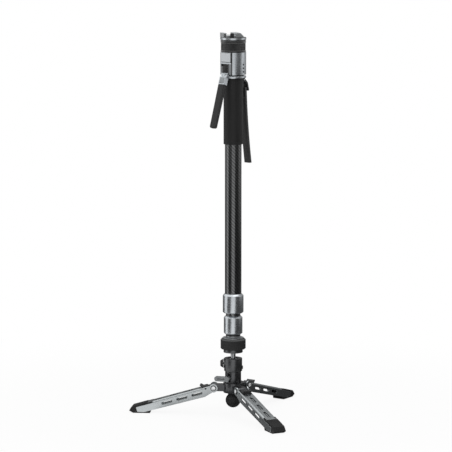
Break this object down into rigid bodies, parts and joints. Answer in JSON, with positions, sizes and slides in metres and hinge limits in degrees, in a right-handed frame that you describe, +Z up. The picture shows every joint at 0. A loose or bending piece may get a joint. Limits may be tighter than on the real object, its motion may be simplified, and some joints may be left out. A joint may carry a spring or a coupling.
{
  "type": "camera monopod",
  "caption": "Carbon video monopod, closed: squeeze-lever height release, quick-release clamp, ball-jointed base with folding spread legs.",
  "frame": {"origin": "the small flat under the rubber ball foot, on the column's axis; the spread feet stand 12 mm lower", "axes": "+Z up along the upright column, -Y towards the viewer of the picture, +X to the viewer's right"},
  "size_m": [0.3262, 0.3609, 0.7384],
  "materials": {
    "silver_metal": "satin anodised",
    "grey_metal": "satin anodised",
    "black_metal": "satin black anodised",
    "black_plastic": "fine matte",
    "rubber": "matte",
    "carbon": "clear-coated carbon fibre",
    "steel": "turned",
    "nylon": "natural",
    "brass": "turned"
  },
  "bodies": {
    "base": {"leg_hub": "black_metal", "pan_socket": "black_metal", "ball_foot": "rubber", "foot_stud": "steel", "leg_pins": "steel", "thrust_washer": "nylon"},
    "leg_left": {"leg_left": "grey_metal", "foot_left": "rubber"},
    "catch_left": {"catch_left": "black_plastic"},
    "leg_front": {"leg_front": "grey_metal", "foot_front": "rubber"},
    "catch_front": {"catch_front": "black_plastic"},
    "leg_right": {"leg_right": "grey_metal", "foot_right": "rubber"},
    "catch_right": {"catch_right": "black_plastic"},
    "pan_lock": {"pan_lock_lever": "grey_metal", "pan_lock_screw": "steel"},
    "pan_housing": {"ball_housing": "black_metal", "ball_retainer": "black_metal", "pan_bolt": "steel", "housing_screw": "steel"},
    "tension": {"tension_knob": "black_plastic", "tension_screw": "steel"},
    "liner": {"ball_liner": "nylon"},
    "stem": {"ball_stem": "steel", "base_adapter": "black_metal", "ring_washer": "silver_metal", "stop_sleeve": "black_plastic", "tube_3": "carbon", "bush_3": "nylon", "lock_core_3": "brass", "lock_shoes_3": "nylon"},
    "seat_ring": {"lock_ring": "rubber"},
    "middle": {"tube_2": "carbon", "collar_2": "silver_metal", "seal_2": "rubber", "bush_2": "nylon", "lock_core_2": "brass", "lock_shoes_2": "nylon"},
    "upper": {"tube_1": "carbon", "collar_1": "silver_metal", "seal_1": "rubber", "grip_sleeve": "rubber", "head_body": "silver_metal", "lower_ring": "silver_metal", "palm_bar": "black_plastic", "body_screws": "steel", "lever_pin": "steel", "latch_pin": "steel", "clamp_base": "silver_metal", "fixed_jaw": "silver_metal", "plate_stop": "black_plastic"},
    "lever": {"lever_arm": "silver_metal", "lever_grip": "rubber"},
    "latch": {"thumb_latch": "black_plastic"},
    "button": {"release_button": "silver_metal"},
    "slide_lock": {"slide_catch": "black_plastic"},
    "turn_ring": {"clamp_ring": "rubber"},
    "jaw": {"sliding_jaw": "silver_metal"},
    "rod": {"pull_rod": "steel"}
  },
  "joints": [
    {"name": "leg_left_fold", "type": "hinge", "parent": "base", "child": "leg_left", "pos_m": [-0.03739, 0.00281, 0.039], "axis": [-0.075, -0.9972, 0], "range_deg": [-94, 0]},
    {"name": "catch_left_press", "type": "hinge", "parent": "leg_left", "child": "catch_left", "pos_m": [-0.0526, 0.00396, 0.03775], "axis": [-0.075, -0.9972, 0], "range_deg": [0, 10], "stiffness_Nm_per_rad": 0.2},
    {"name": "leg_front_fold", "type": "hinge", "parent": "base", "child": "leg_front", "pos_m": [0.01626, -0.03379, 0.039], "axis": [0.9011, 0.4337, 0], "range_deg": [-94, 0]},
    {"name": "catch_front_press", "type": "hinge", "parent": "leg_front", "child": "catch_front", "pos_m": [0.02287, -0.04753, 0.03775], "axis": [0.9011, 0.4337, 0], "range_deg": [0, 10], "stiffness_Nm_per_rad": 0.2},
    {"name": "leg_right_fold", "type": "hinge", "parent": "base", "child": "leg_right", "pos_m": [0.02113, 0.03098, 0.039], "axis": [-0.8261, 0.5635, 0], "range_deg": [-94, 0]},
    {"name": "catch_right_press", "type": "hinge", "parent": "leg_right", "child": "catch_right", "pos_m": [0.02972, 0.04357, 0.03775], "axis": [-0.8261, 0.5635, 0], "range_deg": [0, 10], "stiffness_Nm_per_rad": 0.2},
    {"name": "pan_lock_turn", "type": "hinge", "parent": "base", "child": "pan_lock", "pos_m": [-0.0106, -0.01696, 0.059], "axis": [0.5299, 0.848, 0], "range_deg": [0, 75]},
    {"name": "pan", "type": "hinge", "parent": "base", "child": "pan_housing", "pos_m": [0, 0, 0.0725], "axis": [0, 0, 1], "continuous": true},
    {"name": "tension_turn", "type": "hinge", "parent": "pan_housing", "child": "tension", "pos_m": [-0.02, 0, 0.0867], "axis": [-1, 0, 0], "continuous": true},
    {"name": "tilt_side", "type": "hinge", "parent": "pan_housing", "child": "liner", "pos_m": [0, 0, 0.0867], "axis": [0, 1, 0], "range_deg": [-20, 20]},
    {"name": "tilt_fore", "type": "hinge", "parent": "liner", "child": "stem", "pos_m": [0, 0, 0.0867], "axis": [1, 0, 0], "range_deg": [-20, 20]},
    {"name": "lock_ring_turn", "type": "hinge", "parent": "stem", "child": "seat_ring", "pos_m": [0, 0, 0.126], "axis": [0, 0, 1], "continuous": true},
    {"name": "lower_slide", "type": "slide", "parent": "stem", "child": "middle", "axis": [0, 0, 1], "range_m": [0, 0.34]},
    {"name": "upper_slide", "type": "slide", "parent": "middle", "child": "upper", "axis": [0, 0, 1], "range_m": [0, 0.34]},
    {"name": "lever_squeeze", "type": "hinge", "parent": "upper", "child": "lever", "pos_m": [-0.01601, -0.02049, 0.6454], "axis": [0.788, -0.6157, 0], "range_deg": [0, 18], "stiffness_Nm_per_rad": 1.5},
    {"name": "latch_press", "type": "hinge", "parent": "upper", "child": "latch", "pos_m": [0.01662, 0.02128, 0.6354], "axis": [-0.788, 0.6157, 0], "range_deg": [0, 7], "stiffness_Nm_per_rad": 0.3},
    {"name": "button_press", "type": "slide", "parent": "upper", "child": "button", "axis": [0.6157, 0.788, 0], "range_m": [0, 0.002], "stiffness_N_per_m": 1200},
    {"name": "catch_slide", "type": "slide", "parent": "upper", "child": "slide_lock", "axis": [0, 0, 1], "range_m": [0, 0.004]},
    {"name": "ring_turn", "type": "hinge", "parent": "upper", "child": "turn_ring", "pos_m": [0, 0, 0.7014], "axis": [0, 0, 1], "range_deg": [0, 60]},
    {"name": "jaw_slide", "type": "slide", "parent": "upper", "child": "jaw", "axis": [-0.9613, -0.2756, 0], "range_m": [0, 0.003]},
    {"name": "rod_lift", "type": "slide", "parent": "upper", "child": "rod", "axis": [0, 0, 1], "range_m": [0, 0.003]}
  ],
  "couplings": [
    {"joint": "jaw_slide", "follows": "ring_turn", "m_per_rad": 0.002864},
    {"joint": "rod_lift", "follows": "lever_squeeze", "m_per_rad": 0.00954}
  ]
}
